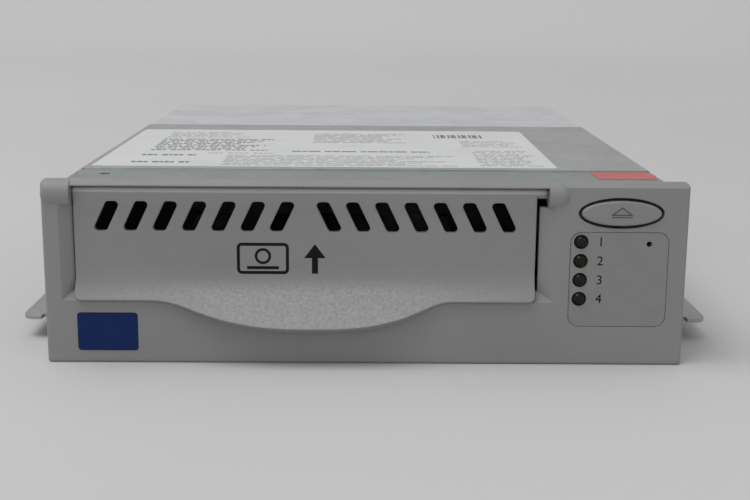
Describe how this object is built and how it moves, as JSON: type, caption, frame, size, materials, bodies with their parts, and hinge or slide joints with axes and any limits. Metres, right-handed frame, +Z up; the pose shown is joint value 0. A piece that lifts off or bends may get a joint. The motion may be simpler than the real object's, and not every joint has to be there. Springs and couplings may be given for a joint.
{
  "type": "data tape drive",
  "caption": "Half-height 5.25 inch data tape drive with a grey bezel, a hinged scoop-lipped cartridge door, vent slots, eject button, lamps, sheet covers and side rails.",
  "frame": {"origin": "centre of the bounding box's base, on the plane the drive rests on", "axes": "+X to the right seen from the front, +Y from the front to the rear, +Z up"},
  "size_m": [0.1714, 0.218, 0.0435],
  "materials": {
    "bezel_plastic": "fine-grained moulded grey plastic",
    "button_plastic": "satin grey plastic",
    "lamp_lens": "smoky dark lens",
    "panel_film": "thin printed film",
    "badge_enamel": "bare dark blue plate",
    "spring_steel": "bright spring wire",
    "switch_body": "black moulding",
    "power_body": "natural nylon",
    "circuit_board": "green solder mask",
    "chip": "black moulding compound",
    "cover_steel": "zinc-plated sheet",
    "rail_steel": "zinc-plated sheet",
    "cast_chassis": "as-cast",
    "deck_sheet": "satin sheet",
    "cage_steel": "nickel-plated sheet",
    "screw_steel": "bright zinc",
    "ground_steel": "ground steel",
    "motor_steel": "plated cans and stators",
    "hub_metal": "machined, toothed",
    "reel_plastic": "pale moulding",
    "roller_plastic": "smooth dark roller",
    "gear_nylon": "natural acetal",
    "head_ceramic": "polished head",
    "carriage_cast": "machined casting",
    "coil_copper": "enamelled winding",
    "contact_metal": "plated pins"
  },
  "bodies": {
    "drive": {"bezel": "bezel_plastic", "badge_plate": "badge_enamel", "lamp_panel": "panel_film", "front_board": "circuit_board", "status_lamps": "lamp_lens", "eject_switch": "switch_body", "reset_switch": "switch_body", "door_spring": "spring_steel", "chassis": "cast_chassis", "front_cover": "cover_steel", "rear_cover": "cover_steel", "rear_panel": "cover_steel", "rail_left": "rail_steel", "rail_right": "rail_steel", "cover_screws": "screw_steel", "rail_screws": "screw_steel", "deck_screws": "screw_steel", "board_screws": "screw_steel", "deck_plate": "deck_sheet", "supply_motor": "motor_steel", "takeup_motor": "motor_steel", "roller_posts": "ground_steel", "head_bracket": "deck_sheet", "head_rods": "ground_steel", "voice_coil_magnet": "motor_steel", "guide_plate_left": "cage_steel", "guide_plate_right": "cage_steel", "loader_motor": "motor_steel", "motor_bracket": "deck_sheet", "gear_post": "ground_steel", "main_board": "circuit_board", "board_chips": "chip", "scsi_connector": "switch_body", "power_connector": "power_body", "power_pins": "contact_metal", "jumper_block": "switch_body"},
    "door": {"cartridge_door": "bezel_plastic"},
    "eject_key": {"eject_button": "button_plastic", "eject_plunger": "button_plastic"},
    "reset_key": {"reset_plunger": "button_plastic"},
    "loader": {"slide_plate_left": "cage_steel", "slide_plate_right": "cage_steel", "slide_tie_bar": "cage_steel"},
    "cage": {"cartridge_cage": "cage_steel", "cage_pins": "ground_steel"},
    "stepped_gear": {"loader_gear": "gear_nylon"},
    "motor_gear": {"loader_pinion": "gear_nylon"},
    "hub": {"supply_hub": "hub_metal"},
    "reel": {"takeup_reel": "reel_plastic"},
    "roller_1": {"guide_roller_1": "roller_plastic"},
    "roller_2": {"guide_roller_2": "roller_plastic"},
    "roller_3": {"guide_roller_3": "roller_plastic"},
    "roller_4": {"guide_roller_4": "roller_plastic"},
    "head": {"head_carriage": "carriage_cast", "tape_head": "head_ceramic", "voice_coil": "coil_copper"}
  },
  "joints": [
    {"name": "door_hinge", "type": "hinge", "parent": "drive", "child": "door", "pos_m": [0, -0.10074, 0.04015], "axis": [-1, 0, 0], "range_deg": [0, 90], "stiffness_Nm_per_rad": 0.004, "springref_deg": -11.46, "deforming": ["door_spring"]},
    {"name": "eject_press", "type": "slide", "parent": "drive", "child": "eject_key", "axis": [0, 1, 0], "range_m": [0, 0.0008], "stiffness_N_per_m": 300, "springref_m": -0.0005},
    {"name": "reset_press", "type": "slide", "parent": "drive", "child": "reset_key", "axis": [0, 1, 0], "range_m": [0, 0.0004], "stiffness_N_per_m": 500, "springref_m": -0.0002},
    {"name": "loader_slide", "type": "slide", "parent": "drive", "child": "loader", "axis": [0, 1, 0], "range_m": [0, 0.02]},
    {"name": "cage_travel", "type": "slide", "parent": "drive", "child": "cage", "axis": [0, 0.8575, -0.5145], "range_m": [0, 0.01167]},
    {"name": "loader_gear_spin", "type": "hinge", "parent": "drive", "child": "stepped_gear", "pos_m": [0.0557, -0.05903, 0.012], "axis": [0, 0, 1], "range_deg": [-160, 0]},
    {"name": "loader_motor_spin", "type": "hinge", "parent": "drive", "child": "motor_gear", "pos_m": [0.0557, -0.04374, 0.014], "axis": [0, 0, 1], "continuous": true},
    {"name": "supply_hub_spin", "type": "hinge", "parent": "drive", "child": "hub", "pos_m": [-0.01375, -0.03803, 0.01], "axis": [0, 0, 1], "continuous": true},
    {"name": "takeup_reel_spin", "type": "hinge", "parent": "drive", "child": "reel", "pos_m": [-0.024, 0.06096, 0.02], "axis": [0, 0, 1], "continuous": true},
    {"name": "guide_roller_1_spin", "type": "hinge", "parent": "drive", "child": "roller_1", "pos_m": [0.051, 0.01697, 0.022], "axis": [0, 0, 1], "continuous": true},
    {"name": "guide_roller_2_spin", "type": "hinge", "parent": "drive", "child": "roller_2", "pos_m": [0.062, 0.02996, 0.022], "axis": [0, 0, 1], "continuous": true},
    {"name": "guide_roller_3_spin", "type": "hinge", "parent": "drive", "child": "roller_3", "pos_m": [0.062, 0.05797, 0.022], "axis": [0, 0, 1], "continuous": true},
    {"name": "guide_roller_4_spin", "type": "hinge", "parent": "drive", "child": "roller_4", "pos_m": [0.042, 0.07996, 0.022], "axis": [0, 0, 1], "continuous": true},
    {"name": "head_tracking", "type": "slide", "parent": "drive", "child": "head", "axis": [0, 0, 1], "range_m": [-0.004, 0.004]}
  ],
  "couplings": [
    {"joint": "cage_travel", "follows": "loader_slide", "ratio": 0.5831},
    {"joint": "loader_gear_spin", "follows": "loader_slide", "rad_per_m": -138.89},
    {"joint": "loader_motor_spin", "follows": "loader_slide", "rad_per_m": 333.33}
  ]
}
